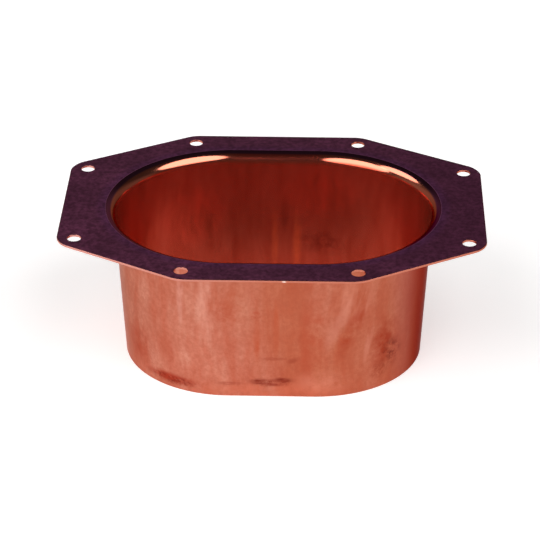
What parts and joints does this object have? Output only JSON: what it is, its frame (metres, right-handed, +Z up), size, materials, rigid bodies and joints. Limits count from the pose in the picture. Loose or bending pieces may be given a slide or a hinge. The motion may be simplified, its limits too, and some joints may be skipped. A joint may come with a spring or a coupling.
{
  "type": "gutter outlet",
  "caption": "Deep-drawn copper drop outlet: a flat octagonal flange with punched fixing holes turns down through a rounded lip into a tapered oval neck.",
  "frame": {"origin": "middle of the oval foot, on the surface that the outlet stands on", "axes": "+Z up out of the mouth, +X along the length of the oval, +Y across it"},
  "size_m": [0.133, 0.1004, 0.05],
  "materials": {
    "copper": "satin drawn copper, with a dark purple tarnish on the flange's upper face"
  },
  "bodies": {
    "root": {"outlet": "copper"}
  },
  "joints": []
}
